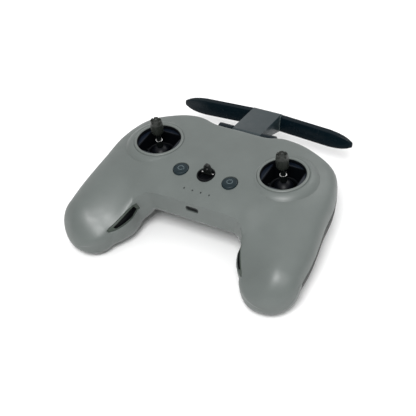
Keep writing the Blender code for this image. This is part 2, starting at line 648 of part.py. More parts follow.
def build_antenna():
    axis = (0.0, HINGE_Y, HINGE_Z)
    base = box("antenna_base", (38.0, 1.4, 11.0), (0.0, 36.1, -14.2), DARK_GREY)
    join(base, rod("base_knuckles", BASE_KNUCKLE_R, 2 * BASE_HALF, axis, axis='X', sides=24, guide=True))
    join(base, box("base_web", (2 * BASE_HALF - 2.0, 5.0, 5.0), (0.0, 38.1, -11.8), guide=True))
    combine(base, box("cut_base_middle", (2 * ARM_HALF + 2 * GAP, 12.0, 24.0), (0.0, 42.8, -12.0), guide=True))
    join(base, box("base_tenon", (20.0, 9.0, 3.0), (0.0, 31.6, -18.0), guide=True))
    combine(base, rod("cut_base_bore", 1.5, 2 * BASE_HALF - 0.8, axis, axis='X', sides=16, guide=True))
    rod("antenna_pin", 1.2, 2 * BASE_HALF - 1.6, axis, SILVER, axis='X', sides=16)

    drop = ARM_DROP / (ARM_FAR_Y - HINGE_Y)
    top = HINGE_Z + KNUCKLE_R - 0.1
    far_top = top - drop * (ARM_FAR_Y - HINGE_Y)
    outline = ((HINGE_Y, top), (ARM_FAR_Y, far_top), (ARM_FAR_Y + 1.2, far_top - 1.8), (ARM_FAR_Y - 0.6, -26.2),
               (69.6, -25.8), (HINGE_Y + 1.0, HINGE_Z - KNUCKLE_R + 0.1), (HINGE_Y, HINGE_Z - KNUCKLE_R + 0.1))
    arm = side_plate("antenna_arm", outline, ARM_HALF, DARK_GREY)
    join(arm, rod("arm_knuckle", KNUCKLE_R, 2 * ARM_HALF, axis, axis='X', sides=24, guide=True))
    combine(arm, rod("cut_arm_bore", 1.5, 2 * ARM_HALF + 4.0, axis, axis='X', sides=16, guide=True))
    for side, sign in (("left", -1), ("right", 1)):
        antenna_blade(side + "_antenna_blade", sign)


BLADE_SECTION = ((74.8, -13.4), (71.6, -14.0), (69.8, -19.8), (69.2, -25.6), (73.0, -26.4), (76.4, -19.5))
BLADE_TAPER = ((ARM_HALF + GAP, 1.0), (52.0, 1.0), (58.0, 0.93), (63.0, 0.8), (67.0, 0.6), (BLADE_TIP_X, 0.3))


def antenna_blade(name, sign):
    """One half of the T: a six-sided bar that narrows and droops to a rounded tip."""
    root_y = sum(y for y, z in BLADE_SECTION) / len(BLADE_SECTION)
    root_z = sum(z for y, z in BLADE_SECTION) / len(BLADE_SECTION)
    bm = bmesh.new()
    rings = []
    for x, scale in BLADE_TAPER:
        droop = (x - ARM_HALF) / (BLADE_TIP_X - ARM_HALF)
        ring = []
        for y, z in BLADE_SECTION:
            at_y = root_y + (y - root_y) * scale - 2.4 * droop
            at_z = root_z + (z - root_z) * scale - 1.6 * droop
            ring.append(bm.verts.new(Vector((sign * x, at_y, at_z)) * MM))
        rings.append(ring)
    bmesh.ops.contextual_create(bm, geom=rings[0])
    bmesh.ops.contextual_create(bm, geom=rings[-1])
    for ring, following in zip(rings, rings[1:]):
        for k in range(len(ring)):
            after = (k + 1) % len(ring)
            bm.faces.new((ring[k], ring[after], following[after], following[k]))
    bmesh.ops.recalc_face_normals(bm, faces=bm.faces)
    return add_object(name, mesh_from(name, bm, smooth=False), DARK_GREY)


# ---------------------------------------------------------------- inside the body

def build_inside():
    board = box("main_board", (56.0, 60.0, 1.6), (0.0, -4.0, BOARD_Z), BOARD)
    join(board, box("radio_can", (20.0, 14.0, 3.0), (0.0, 8.0, BOARD_Z + 1.8), guide=True))
    for k, (x, y, post_top, floor) in enumerate(SCREWS):
        combine(board, rod("cut_board_%d" % k, 3.7, 6.0, (x, y, BOARD_Z), sides=16, guide=True))
        head = rod("case_screw_%d" % (k + 1), 2.5, 1.7, (x, y, floor + 1.45), SILVER, sides=16)
        join(head, rod("shank_%d" % k, 1.15, 12.5, (x, y, floor + 7.6), sides=12, guide=True))
    keys = box("button_board", (50.0, 14.0, 1.2), (0.0, -20.0, -8.6), BOARD)
    for k, x in enumerate((-BUTTON_AT[0], BUTTON_AT[0])):
        join(keys, rod("key_switch_%d" % k, 2.6, 1.8, (x, BUTTON_AT[1], -7.9), sides=16, guide=True))
    for side, sign in (("left", -1), ("right", 1)):
        droop = Matrix.Rotation(math.radians(CELL_DROOP), 3, 'X')
        rod(side + "_battery_cell", 9.0, 49.0, (sign * CELL_AT[0], CELL_AT[1], CELL_AT[2]), CELL, axis='Y',
            turn=droop, sides=24)


build_antenna()
build_shells()
build_skin_pieces()
for gimbal_side, gimbal_sign in (("left", -1), ("right", 1)):
    build_gimbal(gimbal_side, gimbal_sign)
build_face_controls()
build_shoulder_controls()
build_inside()
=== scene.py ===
"""Visual model of the radio transmitter controller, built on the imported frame.

Drafting numbers are in millimetres: X to the operator's right, Y away from the operator, Z out of the face,
with zero on the face midway between the two gimbals, as in the part itself."""
import math

import bmesh
import bpy
import numpy as np
from mathutils import Matrix, Vector


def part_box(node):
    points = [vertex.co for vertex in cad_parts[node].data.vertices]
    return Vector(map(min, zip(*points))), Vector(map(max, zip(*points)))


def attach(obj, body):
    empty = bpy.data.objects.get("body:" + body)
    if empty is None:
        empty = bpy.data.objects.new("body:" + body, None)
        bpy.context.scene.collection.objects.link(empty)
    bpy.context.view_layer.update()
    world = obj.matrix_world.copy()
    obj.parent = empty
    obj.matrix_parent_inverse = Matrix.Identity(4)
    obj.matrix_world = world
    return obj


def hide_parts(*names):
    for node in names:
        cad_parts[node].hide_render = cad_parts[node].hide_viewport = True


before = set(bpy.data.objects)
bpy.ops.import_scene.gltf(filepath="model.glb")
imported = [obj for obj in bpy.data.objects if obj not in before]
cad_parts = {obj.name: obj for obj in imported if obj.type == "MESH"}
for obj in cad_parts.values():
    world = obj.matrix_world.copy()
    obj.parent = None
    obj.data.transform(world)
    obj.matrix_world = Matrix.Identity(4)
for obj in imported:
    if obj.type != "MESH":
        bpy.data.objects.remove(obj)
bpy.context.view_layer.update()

MM = 0.001


def middle(node):
    """Centre of a CAD node's box, in metres."""
    low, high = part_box(node)
    return (low + high) / 2


FACE_HEIGHT = 51.0                              # height of drafting zero above the feet's undersides
DRAFT_Y = middle("left_gimbal_ring").y / MM     # row-frame Y of the line through the gimbals
GAP = 0.3
WALL = 2.0
GIMBAL_X = middle("right_gimbal_ring").x / MM
OPENING_R = 16.15
RING_R = 18.3
PIVOT_Z = -13.0
TRUNNION_R = 1.25
TRUNNION_BORE_R = 1.6
YOKE_GAP_R = 9.8
DOME_R = 7.4
POST_R = 1.8
COLLAR_BORE_R = 2.15
COLLAR_R = 2.5
BUTTON_R = 5.6
LOOP_R = 6.4
LAMP_SPACING = 6.6
FAR_WALL_Y = 36.2                               # middle of the holes for the far wall's controls
CORNER_AT = (66.0, 32.7, -19.5)                 # middle of the right corner control's hole
CORNER_ANGLE = math.radians(19.0)               # the corner controls' turn away from the far wall
SLOT_SPAN = (3.9, 7.92)                         # first and last station of the storage slot's rim
HOLLOW_SPAN = (4.45, 7.3)                       # the same for the hollow inside the rim
PAD_SPAN = (4.74, 7.95)                         # the same for the rubber pad


def place(x, y, z):
    """Row-frame position, in metres, of a drafting point in millimetres."""
    return Vector((x * MM, (y + DRAFT_Y) * MM, (z + FACE_HEIGHT) * MM))


def drafting(point):
    """Drafting position, in millimetres, of a row-frame point in metres."""
    return Vector((point.x / MM, point.y / MM - DRAFT_Y, point.z / MM - FACE_HEIGHT))


def underside(node):
    """Drafting height of a CAD node's lowest point."""
    return drafting(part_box(node)[0]).z


def topside(node):
    """Drafting height of a CAD node's highest point."""
    return drafting(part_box(node)[1]).z


def about_z(angle):
    return Matrix.Rotation(angle, 3, 'Z')


# ---------------------------------------------------------------- materials

def shader_of(name):
    """A new material with its node tree and its Principled shader."""
    made = bpy.data.materials.new(name)
    made.use_nodes = True
    return made, made.node_tree, made.node_tree.nodes["Principled BSDF"]


def noise(tree, scale, detail=2.0, roughness=0.5):
    where = tree.nodes.new("ShaderNodeTexCoord")
    made = tree.nodes.new("ShaderNodeTexNoise")
    made.inputs["Scale"].default_value = scale
    made.inputs["Detail"].default_value = detail
    made.inputs["Roughness"].default_value = roughness
    tree.links.new(where.outputs["Object"], made.inputs["Vector"])
    return made


def ranged(tree, source, low, high, start=0.3, end=0.7):
    made = tree.nodes.new("ShaderNodeMapRange")
    made.inputs["From Min"].default_value = start
    made.inputs["From Max"].default_value = end
    made.inputs["To Min"].default_value = low
    made.inputs["To Max"].default_value = high
    tree.links.new(source, made.inputs["Value"])
    return made.outputs["Result"]


def tinted(tree, source, dark, light, start=0.3, end=0.7):
    made = tree.nodes.new("ShaderNodeValToRGB")
    made.color_ramp.elements[0].position = start
    made.color_ramp.elements[0].color = (*dark, 1.0)
    made.color_ramp.elements[1].position = end
    made.color_ramp.elements[1].color = (*light, 1.0)
    tree.links.new(source, made.inputs["Fac"])
    return made.outputs["Color"]


def moulded(name, colour, roughness, grain=2200.0, depth=0.00004, specular=0.5):
    """Moulded plastic or rubber with a fine grain, slight mottling and uneven gloss."""
    made, tree, shader = shader_of(name)
    mottle = noise(tree, 55.0, 4.0)
    dark = tuple(c * 0.94 for c in colour)
    light = tuple(c * 1.06 for c in colour)
    tree.links.new(tinted(tree, mottle.outputs["Fac"], dark, light), shader.inputs["Base Color"])
    patchy = noise(tree, 140.0, 3.0)
    tree.links.new(ranged(tree, patchy.outputs["Fac"], roughness - 0.04, roughness + 0.05),
                   shader.inputs["Roughness"])
    grainy = noise(tree, grain, 1.0)
    bump = tree.nodes.new("ShaderNodeBump")
    bump.inputs["Strength"].default_value = 0.6
    bump.inputs["Distance"].default_value = depth
    tree.links.new(grainy.outputs["Fac"], bump.inputs["Height"])
    tree.links.new(bump.outputs["Normal"], shader.inputs["Normal"])
    shader.inputs["Specular IOR Level"].default_value = specular
    return made


def brushed(name, colour, roughness):
    """Bright metal with fine turning marks."""
    made, tree, shader = shader_of(name)
    shader.inputs["Metallic"].default_value = 1.0
    marks = noise(tree, 900.0, 2.0)
    tree.links.new(tinted(tree, marks.outputs["Fac"], tuple(c * 0.85 for c in colour), colour),
                   shader.inputs["Base Color"])
    tree.links.new(ranged(tree, marks.outputs["Fac"], roughness - 0.05, roughness + 0.1),
                   shader.inputs["Roughness"])
    return made


def circuit(name):
    """Solder mask with paler tracks and bright pads."""
    made, tree, shader = shader_of(name)
    where = tree.nodes.new("ShaderNodeTexCoord")
    tracks = tree.nodes.new("ShaderNodeTexBrick")
    tracks.inputs["Scale"].default_value = 220.0
    tracks.inputs["Color1"].default_value = (0.015, 0.10, 0.045, 1.0)
    tracks.inputs["Color2"].default_value = (0.02, 0.13, 0.06, 1.0)
    tracks.inputs["Mortar"].default_value = (0.04, 0.2, 0.1, 1.0)
    tree.links.new(where.outputs["Object"], tracks.inputs["Vector"])
    tree.links.new(tracks.outputs["Color"], shader.inputs["Base Color"])
    gloss = noise(tree, 300.0, 2.0)
    tree.links.new(ranged(tree, gloss.outputs["Fac"], 0.3, 0.5), shader.inputs["Roughness"])
    return made


GREY = moulded("satin grey plastic", (0.090, 0.103, 0.098), 0.42)
RING_GREY = moulded("bezel grey plastic", (0.102, 0.115, 0.109), 0.4)
ANTENNA = moulded("dark antenna plastic", (0.002, 0.006, 0.009), 0.24, specular=0.16)
ARM_GREY = moulded("antenna arm plastic", (0.014, 0.024, 0.028), 0.38, specular=0.4)
# painted highlight: a pale colour that stands for the reflection off the chamfer between the antenna arm and
# each blade
BLADE_ROOT_GLINT = moulded("antenna blade root painted glint", (0.07, 0.09, 0.09), 0.4)
BLACK = moulded("black plastic", (0.003, 0.004, 0.004), 0.32, specular=0.35)
WELL_BLACK = moulded("gimbal well black", (0.001, 0.0015, 0.0025), 0.5, specular=0.12)
DOME_BLACK = moulded("gimbal dome black", (0.001, 0.0015, 0.003), 0.4, specular=0.15)
TRIM_BLUE = moulded("gimbal trim", (0.003, 0.006, 0.012), 0.4, grain=1500.0, depth=0.00002, specular=0.3)
STICK = moulded("stick cap", (0.009, 0.011, 0.009), 0.34, specular=0.4)
RUBBER = moulded("black rubber", (0.022, 0.024, 0.022), 0.72, grain=1500.0, depth=0.0001)
SLATE = moulded("slate button plastic", (0.006, 0.014, 0.018), 0.38, specular=0.2)
MARK = moulded("button marking", (0.08, 0.11, 0.12), 0.45)
TRAY = moulded("slot lining", (0.032, 0.042, 0.034), 0.45, specular=0.3)
# near-black, darker than the black plastic: painted shade standing for the depth of the storage slot
CAVITY_SHADE = moulded("slot cavity painted shade", (0.001, 0.0015, 0.002), 0.5, specular=0.15)
PORT = moulded("port shell", (0.012, 0.014, 0.014), 0.35)
STEEL = brushed("bright steel", (0.78, 0.78, 0.77), 0.2)
BOARD = circuit("circuit board")
LAMP = moulded("smoked light guide", (0.02, 0.024, 0.024), 0.3)
SLEEVE = moulded("cell sleeve", (0.02, 0.07, 0.26), 0.3)


# ---------------------------------------------------------------- building blocks

LEFTOVERS = []      # the tools of the Boolean modifiers, removed once everything is baked


def new_object(name, bm, paint=None, smooth=True, sharp=35.0):
    mesh = bpy.data.meshes.new(name)
    bm.to_mesh(mesh)
    bm.free()
    if smooth:
        mesh.shade_smooth()
        mesh.set_sharp_from_angle(angle=math.radians(sharp))
    made = bpy.data.objects.new(name, mesh)
    bpy.context.scene.collection.objects.link(made)
    if paint:
        mesh.materials.append(paint)
    return made


def put(made, x, y, z, turn=None):
    made.matrix_world = Matrix.Translation(place(x, y, z)) @ (turn or Matrix.Identity(3)).to_4x4()
    return made


def combine(target, tool, operation='DIFFERENCE', own_crossings=False):
    """Adds a Boolean modifier; the tool is removed at the end."""
    step = target.modifiers.new(operation.lower(), 'BOOLEAN')
    step.operation = operation
    step.object = tool
    step.solver = 'EXACT'
    step.use_self = own_crossings
    LEFTOVERS.append(tool)
    return target


def rounded(made, width, segments=3, angle=30.0):
    step = made.modifiers.new("rounding", 'BEVEL')
    step.width = width * MM
    step.segments = segments
    step.limit_method = 'ANGLE'
    step.angle_limit = math.radians(angle)
    return made


def baked(made, sharp=35.0):
    """The object with its modifiers applied, at the origin, ready to ride."""
    bpy.context.view_layer.update()
    shown = made.evaluated_get(bpy.context.evaluated_depsgraph_get())
    mesh = bpy.data.meshes.new_from_object(shown)
    mesh.transform(made.matrix_world)
    mesh.shade_smooth()
    mesh.set_sharp_from_angle(angle=math.radians(sharp))
    made.modifiers.clear()
    made.data = mesh
    made.matrix_world = Matrix.Identity(4)
    return made


def rod(name, radius, length, at, axis='Z', sides=48, turn=None):
    """A cutter or a pin along one axis."""
    bm = bmesh.new()
    bmesh.ops.create_cone(bm, cap_ends=True, segments=sides, radius1=radius * MM, radius2=radius * MM,
                          depth=length * MM)
    along = {'X': Matrix.Rotation(math.radians(90), 3, 'Y'), 'Y': Matrix.Rotation(math.radians(-90), 3, 'X'),
             'Z': Matrix.Identity(3)}[axis]
    return put(new_object(name, bm), *at, turn=(turn or Matrix.Identity(3)) @ along)


def block(name, size, at, turn=None, paint=None):
    bm = bmesh.new()
    bmesh.ops.create_cube(bm, size=1.0)
    bmesh.ops.scale(bm, vec=Vector(size) * MM, verts=bm.verts)
    return put(new_object(name, bm, paint, smooth=False), *at, turn=turn)


def bar_ring(name, count, radius, size):
    """Upright bars in a ring, a cutter for grooves."""
    bm = bmesh.new()
    shape = Matrix.Diagonal((*(Vector(size) * MM), 1.0))
    for k in range(count):
        angle = 2 * math.pi * k / count
        where = Matrix.Rotation(angle, 4, 'Z') @ Matrix.Translation((radius * MM, 0.0, 0.0))
        bmesh.ops.create_cube(bm, size=1.0, matrix=where @ shape)
    return new_object(name, bm, smooth=False)


def turned(name, profile, at, paint=None, sides=96):
    """A profile of (radius, height) points turned about Z, closed unless both its ends are on the axis."""
    bm = bmesh.new()
    rings = []
    for radius, height in profile:
        ring = []
        reach = radius * MM
        for k in range(sides if radius else 1):
            angle = 2 * math.pi * k / sides
            ring.append(bm.verts.new((reach * math.cos(angle), reach * math.sin(angle), height * MM)))
        rings.append(ring)
    pairs = list(zip(rings, rings[1:]))
    if len(rings[0]) > 1 or len(rings[-1]) > 1:
        pairs.append((rings[-1], rings[0]))
    for upper, lower in pairs:
        for k in range(sides):
            after = (k + 1) % sides
            if len(upper) == 1 and len(lower) == 1:
                continue
            if len(upper) == 1:
                bm.faces.new((upper[0], lower[k], lower[after]))
            elif len(lower) == 1:
                bm.faces.new((upper[k], lower[0], upper[after]))
            else:
                bm.faces.new((upper[k], lower[k], lower[after], upper[after]))
    bmesh.ops.recalc_face_normals(bm, faces=bm.faces)
    return put(new_object(name, bm, paint), *at)


def refined(node, paint, bevel, segments, angle=30.0):
    """A finer copy of a CAD node: flat areas joined up and edges rounded."""
    bm = bmesh.new()
    bm.from_mesh(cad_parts[node].data)
    bmesh.ops.remove_doubles(bm, verts=bm.verts, dist=0.000002)
    bmesh.ops.dissolve_limit(bm, angle_limit=math.radians(1.0), verts=bm.verts, edges=bm.edges)
    return baked(rounded(new_object(node + "_skin", bm, paint), bevel, segments, angle))


def finish(made, body, *nodes):
    """Fixes a piece to its body and hides the CAD nodes it stands for."""
    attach(made, body)
    if nodes:
        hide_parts(*nodes)
    return made


# ---------------------------------------------------------------- the body's loft

# outer x, y, z | crease x, y, z | inner wall foot x, y, z
RAILS = (
    ((0.0, 35.0, -12.5), (0.0, -42.0, -9.5), (0.0, -43.0, -22.0)),
    ((20.0, 35.0, -12.5), (20.0, -42.0, -9.5), (20.0, -43.0, -22.0)),
    ((35.0, 37.0, -9.5), (33.0, -42.5, -9.8), (32.5, -43.2, -21.5)),
    ((54.0, 36.5, -11.8), (39.0, -45.0, -11.5), (37.5, -45.2, -22.5)),
    ((76.0, 27.5, -15.5), (43.0, -49.0, -14.0), (41.0, -48.0, -24.0)),
    ((86.0, 6.0, -18.0), (45.3, -53.5, -16.5), (41.8, -51.5, -25.5)),
    ((88.7, -18.0, -21.0), (47.8, -60.0, -20.0), (42.3, -57.5, -27.5)),
    ((92.0, -43.0, -25.0), (51.3, -67.0, -24.0), (45.3, -65.0, -30.0)),
    ((92.3, -63.0, -28.0), (56.0, -73.5, -27.0), (50.5, -71.5, -33.0)),
)
# rise of the outer edge | inset, z behind the edge | middle z | inset, z before the crease | crease edge
FACE_SHAPE = (
    (12.0, 5.0, 0.4, 0.0, 15.0, 0.3, 1.0),
    (12.0, 5.0, 0.4, 0.0, 15.0, 0.3, 1.0),
    (10.5, 5.0, 0.8, 0.3, 15.0, 0.2, 1.0),
    (9.0, 5.5, -0.7, 0.5, 15.0, -0.5, 0.8),
    (7.5, 7.0, -3.5, 0.3, 15.0, -3.8, 0.5),
    (8.5, 9.0, -6.0, -1.5, 14.0, -8.5, 0.3),
    (8.5, 10.0, -8.8, -5.0, 12.0, -13.0, 0.15),
    (7.5, 11.0, -12.5, -10.0, 10.0, -17.0, 0.05),
    (7.5, 11.0, -15.5, -14.0, 9.0, -20.0, 0.0),
)
# drop of the inner foot | inset, z after it | middle z | inset, z before the outer edge | its drop
BACK_SHAPE = (
    (5.0, 6.0, -27.0, -34.0, 8.0, -32.0, 9.0),
    (5.0, 6.0, -27.0, -34.0, 8.0, -32.0, 9.0),
    (5.0, 4.0, -29.0, -39.0, 8.0, -36.0, 10.0),
    (7.0, 2.0, -36.0, -49.0, 8.0, -44.0, 10.5),
    (8.0, 0.0, -42.0, -52.0, 8.5, -48.0, 11.0),
    (10.0, 0.0, -46.0, -51.5, 9.5, -48.0, 11.0),
    (10.5, 1.5, -47.5, -50.5, 9.5, -47.0, 11.0),
    (10.0, 4.0, -48.0, -50.0, 9.5, -47.5, 11.0),
    (10.0, 6.0, -48.0, -50.0, 9.5, -48.5, 10.0),
)
GRIP_END = (4.2, -16.8, -6.5)
ROWS_PER_STATION = 7
END_ROWS = 12
FACE_CUTS = 30
WALL_CUTS = 9
BACK_CUTS = 28


def spline_weights(count, at):
    """Weights of a clamped cubic B-spline's control points at one place from 0 to 1."""
    spans = count - 3
    knots = [0.0] * 3 + [i / spans for i in range(spans + 1)] + [1.0] * 3
    at = min(at, 1.0 - 1e-9)
    weights = [1.0 if knots[i] <= at < knots[i + 1] else 0.0 for i in range(len(knots) - 1)]
    for degree in (1, 2, 3):
        for i in range(len(weights) - 1):
            left = knots[i + degree] - knots[i]
            right = knots[i + degree + 1] - knots[i + 1]
            rising = (at - knots[i]) / left * weights[i] if left else 0.0
            falling = (knots[i + degree + 1] - at) / right * weights[i + 1] if right else 0.0
            weights[i] = rising + falling
        weights.pop()
    return np.array(weights)


def spline_points(controls, cuts):
    return np.array([spline_weights(len(controls), k / cuts) @ controls for k in range(cuts + 1)])


def lifted(point, rise):
    return point + np.array((0.0, 0.0, rise))


def towards(point, direction, distance, height):
    moved = point + direction * distance
    return np.array((moved[0], moved[1], height))


def level_direction(start, end):
    step = np.array((end[0] - start[0], end[1] - start[1], 0.0))
    return step / np.linalg.norm(step)


def station_controls(rails, face, back):
    """Control points of one station's three curves: over the face, down the inner wall, and back under."""
    outer, crease, foot = (np.array(point) for point in rails)
    rise, inset, edge_z, middle_z, run, slope_z, sharp = face
    across = level_direction(outer, crease)
    centre = towards((outer + crease) / 2, across, 0.0, middle_z)
    before = towards(crease, across, -run, slope_z)
    over = [outer, lifted(outer, rise), towards(outer, across, inset, edge_z), centre, before, crease]
    fall = 0.35 * (crease[2] - foot[2])
    softened = crease + 0.35 * (1.0 - sharp) * (crease - before) - np.array((0.0, 0.0, fall * sharp))
    wall = [crease, softened, lifted(foot, fall), foot]
    drop, foot_inset, foot_z, under_z, edge_inset, under_edge_z, edge_drop = back
    across = level_direction(outer, foot)
    under = [foot, lifted(foot, -drop), towards(foot, across, -foot_inset, foot_z),
             towards((outer + foot) / 2, across, 0.0, under_z),
             towards(outer, across, edge_inset, under_edge_z), lifted(outer, -edge_drop), outer]
    return np.array(over), np.array(wall), np.array(under)


STATIONS = [station_controls(*station) for station in zip(RAILS, FACE_SHAPE, BACK_SHAPE)]


def blend_stations(rows, along):
    """Catmull-Rom blend of one row per station, mirrored at the middle."""
    last = len(rows) - 1
    i = min(int(along), last - 1)
    t = along - i
    before = rows[1] * (-1.0, 1.0, 1.0) if i == 0 else rows[i - 1]
    after = 2 * rows[last] - rows[last - 1] if i + 2 > last else rows[i + 2]
    here, there = rows[i], rows[i + 1]
    return 0.5 * (2 * here + (there - before) * t + (2 * before - 5 * here + 4 * there - after) * t ** 2
                  + (3 * here - before - 3 * there + after) * t ** 3)


def body_grid():
    """Rows of points round the right half, from the middle to the grip's rounded end, and its tip."""
    sections = []
    for over, wall, under in STATIONS:
        sections.append(np.concatenate([spline_points(over, FACE_CUTS), spline_points(wall, WALL_CUTS)[1:],
                                        spline_points(under, BACK_CUTS)[1:-1]]))
    steps = (len(STATIONS) - 1) * ROWS_PER_STATION
    rows = [blend_stations(sections, k / ROWS_PER_STATION) for k in range(steps + 1)]
    centre = (rows[-1].min(axis=0) + rows[-1].max(axis=0)) / 2
    for k in range(1, END_ROWS):
        angle = math.radians(90 * k / END_ROWS)
        rows.append(centre + (rows[steps] - centre) * math.cos(angle) + np.array(GRIP_END) * math.sin(angle))
    return rows, centre + np.array(GRIP_END)


def mirror(made):
    twin = made.modifiers.new("other half", 'MIRROR')
    twin.merge_threshold = 0.00001
    twin.use_clip = True
    return made


def thicken(made, thickness, offset=-1.0):
    wall = made.modifiers.new("wall", 'SOLIDIFY')
    wall.thickness = thickness * MM
    wall.offset = offset
    wall.use_even_offset = True
    return made


def weld(made):
    step = made.modifiers.new("merge", 'WELD')
    step.merge_threshold = 0.00002
    return made


def body_skin(name):
    """The whole body as a wall, before the two shells are parted."""
    rows, tip = body_grid()
    bm = bmesh.new()
    grid = [[bm.verts.new(Vector(point) * MM) for point in row] for row in rows]
    pole = bm.verts.new(Vector(tip) * MM)
    around = len(grid[0])
    for row, following in zip(grid, grid[1:]):
        for k in range(around):
            after = (k + 1) % around
            bm.faces.new((row[k], row[after], following[after], following[k]))
    for k in range(around):
        bm.faces.new((grid[-1][k], grid[-1][(k + 1) % around], pole))
    return thicken(mirror(put(new_object(name, bm, GREY), 0.0, 0.0, 0.0)), WALL)


# outer and inner point of the joint's guide beside and beyond the grip's end
PARTING_ENDS = (
    ((105.0, -80.0, -43.0), (52.0, -86.0, -45.5)),
    ((104.0, -104.0, -48.0), (66.0, -110.0, -48.0)),
)
PARTING_ROWS_PER_STATION = 2
PARTING_REACH = 15.0
PARTING_TOP_Z = 30.0
JOINT_DROP = 0.13


def parting_guide(name, drop):
    """Everything above the joint between the two shells, lowered by drop."""
    steps = (len(STATIONS) - 1) * PARTING_ROWS_PER_STATION
    outer_rail = [over[0] for over, _, _ in STATIONS]
    inner_rail = [spline_weights(len(under), 0.25) @ under for _, _, under in STATIONS]
    edges = []
    for k in range(steps + 1):
        outer = blend_stations(outer_rail, k / PARTING_ROWS_PER_STATION)
        inner = blend_stations(inner_rail, k / PARTING_ROWS_PER_STATION)
        out = (outer - inner) / np.linalg.norm((outer - inner)[:2])
        edges.append((outer + out * PARTING_REACH, inner - out * PARTING_REACH))
    for outer, inner in PARTING_ENDS:
        edges.append((np.array(outer), np.array(inner)))
    bm = bmesh.new()
    columns = []
    for outer, inner in edges:
        low = [lifted(outer, -drop), lifted(inner, -drop)]
        high = [towards(point, np.zeros(3), 0.0, PARTING_TOP_Z) for point in (inner, outer)]
        columns.append([bm.verts.new(Vector(point) * MM) for point in low + high])
    for row, following in zip(columns, columns[1:]):
        for k in range(4):
            after = (k + 1) % 4
            bm.faces.new((row[k], following[k], following[after], row[after]))
    bm.faces.new(columns[-1][::-1])
    bmesh.ops.triangulate(bm, faces=bm.faces, quad_method='FIXED')
    return mirror(put(new_object(name, bm, smooth=False), 0.0, 0.0, 0.0))


# which of a station's three curves a patch lies on
INNER_WALL = 1
UNDER_SIDE = 2


def surface_point(section, along, across):
    """A point of one of the body's surfaces, by its place along the stations and across them."""
    rows = [spline_weights(len(station[section]), across) @ station[section] for station in STATIONS]
    return blend_stations(rows, along)


def patch(name, section, along, edges, depth, paint, side, rows=44, columns=12, offset=-1.0):
    """A piece of the outer surface between two edge lines, thickened by depth."""
    bm = bmesh.new()
    grid = []
    for k in range(rows + 1):
        u = along[0] + (along[1] - along[0]) * k / rows
        low, high = edges(u)
        places = [low + (high - low) * j / columns for j in range(columns + 1)]
        points = [surface_point(section, u, v) * (side, 1.0, 1.0) for v in places]
        grid.append([bm.verts.new(Vector(point) * MM) for point in points])
    for row, following in zip(grid, grid[1:]):
        for j in range(columns):
            corners = (row[j], row[j + 1], following[j + 1], following[j])
            bm.faces.new(corners if side > 0 else corners[::-1])
    return thicken(put(new_object(name, bm, paint), 0.0, 0.0, 0.0), depth, offset)


def slot_edges(spare):
    """The storage slot's upper and lower edge on the grip's inner wall, moved outwards by spare."""
    def edges(along):
        upper = np.interp(along, (3.9, 4.55, 5.7, 6.7, 7.5, 8.0), (0.38, 0.27, 0.14, 0.1, 0.13, 0.25))
        lower = np.interp(along, (3.9, 5.6, 6.7, 7.5, 8.0), (0.97, 0.97, 0.78, 0.62, 0.4))
        return upper - spare, lower + spare
    return edges


def pad_edges(spare):
    """The rubber pad's inner and outer edge under the grip, moved outwards by spare."""
    def edges(along):
        inner = np.interp(along, (4.7, 5.8), (0.8, 0.62))
        return inner - spare, 0.98 + spare
    return edges


# ---------------------------------------------------------------- shells and skin pieces

BOSS = ((18.45, 0.15), (18.8, 0.36), (19.5, 0.42), (20.2, 0.22), (21.3, -0.35), (22.4, -1.0), (23.5, -2.0),
        (24.5, -3.2), (25.4, -4.6), (26.0, -6.0), (26.5, -9.0), (18.45, -9.0))


def build_upper_shell():
    upper = combine(body_skin("upper_shell"), parting_guide("above_joint", JOINT_DROP), 'INTERSECT',
                    own_crossings=True)
    weld(upper)
    for sign, button in ((-1, "c1_button"), (1, "power_button")):
        gimbal_at = (sign * GIMBAL_X, 0.0, 0.0)
        combine(upper, rod("gimbal_hole_%d" % sign, 19.3, 30.0, gimbal_at, sides=96))
        combine(upper, turned("boss_%d" % sign, BOSS, gimbal_at, GREY), 'UNION')
        at = drafting(middle(button))
        combine(upper, rod("button_hole_%d" % sign, BUTTON_R + 0.28, 10.0, (at.x, at.y, -1.0)))
        span = (SLOT_SPAN[0] - 0.02, SLOT_SPAN[1] + 0.02)
        combine(upper, patch("slot_hole_%d" % sign, INNER_WALL, span, slot_edges(0.02), 5.0, None, sign,
                             offset=-0.4))
    cup = drafting(middle("lanyard_cup"))
    combine(upper, rod("lanyard_hole", LOOP_R + 0.25, 10.0, (0.0, cup.y, -1.0), sides=64))
    port = drafting(middle("charging_port"))
    combine(upper, rounded(block("port_hole", (10.1, 9.0, 4.1), (0.0, -42.0, port.z)), 1.7, 6))
    lamps_y = drafting(middle("lamp_guide")).y
    for k in range(4):
        x = (k - 1.5) * LAMP_SPACING
        combine(upper, rod("lamp_hole_%d" % k, 0.62, 8.0, (x, lamps_y, -6.0), sides=24))
    finish(baked(upper, 32.0), "case", "top_shell")


def build_lower_shell():
    lower = combine(body_skin("lower_shell"), parting_guide("above_joint_gap", JOINT_DROP + GAP),
                    own_crossings=True)
    weld(lower)
    for side, sign in (("left", -1), ("right", 1)):
        span = (PAD_SPAN[0] - 0.03, PAD_SPAN[1] + 0.02)
        combine(lower, patch("pad_hole_%d" % sign, UNDER_SIDE, span, pad_edges(0.006), 2.3, None, sign,
                             rows=30, columns=16, offset=-0.13))
        for end in ("front", "rear"):
            node = "%s_%s_foot" % (side, end)
            at = drafting(middle(node))
            depth = 6.0
            hole_z = topside(node) + GAP - depth / 2
            combine(lower, rod("foot_hole_%s_%d" % (end, sign), 5.3, depth, (at.x, at.y, hole_z)))
    for k in range(4):
        at = drafting(middle("case_screw_%d" % (k + 1)))
        combine(lower, rod("screw_hole_%d" % k, 2.9, 7.0, (at.x, at.y, at.z - 5.2), sides=32))
    tenon = drafting(middle("antenna_base"))
    combine(lower, block("tenon_hole", (20.6, 14.0, 3.6), (tenon.x, 32.0, -18.0)))
    cut_far_wall(lower)
    finish(baked(lower, 32.0), "case", "bottom_shell")


